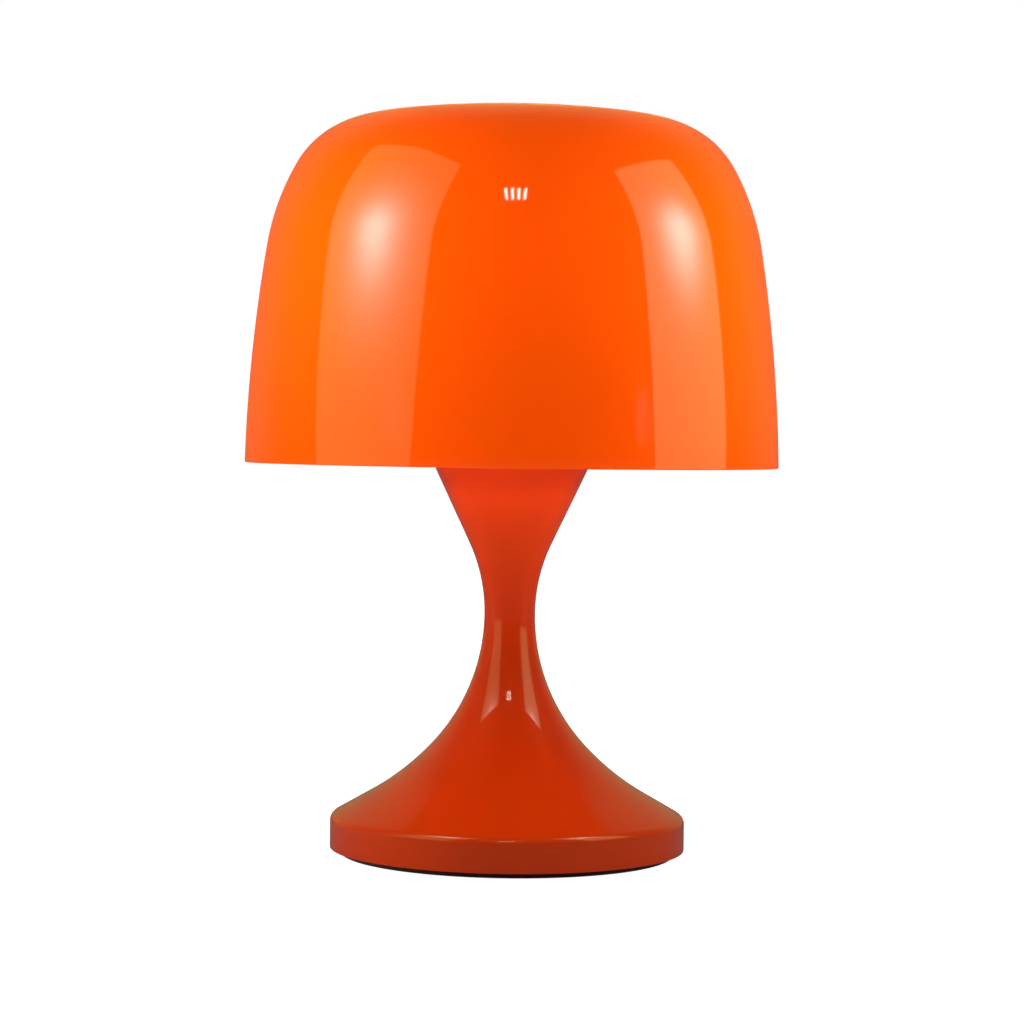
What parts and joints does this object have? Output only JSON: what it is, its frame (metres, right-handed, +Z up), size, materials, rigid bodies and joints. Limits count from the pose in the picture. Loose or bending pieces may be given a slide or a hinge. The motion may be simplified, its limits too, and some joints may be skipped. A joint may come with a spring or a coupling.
{
  "type": "mushroom table lamp",
  "caption": "Table lamp with an open-bottomed orange dome shade that lifts off a wire carrier, over a glossy hourglass base on a round skirted foot.",
  "frame": {"origin": "on the table under the lamp's axis, at the underside of the foot pad", "axes": "+Z up the lamp's axis of revolution; the front faces -Y and the cord's inlet is at the back, +Y"},
  "size_m": [0.301, 0.301, 0.4207],
  "materials": {
    "orange_lacquer": "high gloss orange-red lacquer",
    "orange_acrylic": "polished opal orange acrylic, slightly translucent",
    "clear_acrylic": "cut and polished acrylic",
    "foot_felt": "dark pressed felt",
    "zinc_steel": "zinc plated steel",
    "bright_wire": "chromed wire and plate",
    "cast_weight": "raw cast iron",
    "black_thermoset": "moulded black, satin to gloss",
    "steatite": "off-white unglazed ceramic",
    "contact_brass": "plain brass",
    "black_rubber": "soft matte black",
    "frosted_glass": "inside-frosted bulb glass",
    "clear_glass": "clear glass",
    "cap_aluminium": "plain aluminium",
    "filament_wire": "dull wire",
    "white_nylon": "translucent white nylon",
    "brown_insulation": "soft vinyl",
    "blue_insulation": "soft vinyl",
    "green_insulation": "soft vinyl, green with yellow"
  },
  "bodies": {
    "stand": {"casing": "orange_lacquer", "foot_pad": "foot_felt", "base_plate": "zinc_steel", "base_screws": "zinc_steel", "ballast": "cast_weight", "centre_tube": "zinc_steel", "lower_washer": "zinc_steel", "lower_nut": "zinc_steel", "top_plate": "zinc_steel", "tooth_washer": "zinc_steel", "upper_nut": "contact_brass", "holder_cap": "black_thermoset", "holder_sleeve": "black_thermoset", "holder_insert": "steatite", "holder_screw_shell": "contact_brass", "holder_centre_contact": "contact_brass", "holder_terminals": "contact_brass", "holder_terminal_screws": "zinc_steel", "cord_grommet": "black_rubber", "terminal_block": "white_nylon", "terminal_barrels": "contact_brass", "terminal_block_screws": "zinc_steel", "block_fixing_screws": "zinc_steel", "live_lead": "brown_insulation", "neutral_lead": "blue_insulation", "earth_lead": "green_insulation", "earth_tag": "contact_brass", "earth_screw": "zinc_steel"},
    "carrier": {"shade_carrier": "bright_wire", "carrier_tips": "black_rubber"},
    "shade": {"shade": "orange_acrylic", "shade_lugs": "clear_acrylic"},
    "shade_ring": {"shade_ring": "black_thermoset"},
    "bulb": {"bulb_glass": "frosted_glass", "bulb_screw_cap": "cap_aluminium", "bulb_insulator": "black_thermoset", "bulb_contact": "zinc_steel", "bulb_stem": "clear_glass", "bulb_filament": "filament_wire"}
  },
  "joints": [
    {"name": "carrier_turn", "type": "hinge", "parent": "stand", "child": "carrier", "pos_m": [0, 0, 0.2728], "axis": [0, 0, 1], "continuous": true},
    {"name": "shade_lift", "type": "slide", "parent": "carrier", "child": "shade", "axis": [0, 0, 1], "range_m": [0, 0.2]},
    {"name": "ring_unscrew", "type": "hinge", "parent": "stand", "child": "shade_ring", "pos_m": [0, 0, 0.278], "axis": [0, 0, 1], "range_deg": [0, 1080]},
    {"name": "bulb_out", "type": "slide", "parent": "stand", "child": "bulb", "axis": [0, 0, 1], "range_m": [0, 0.034]}
  ]
}
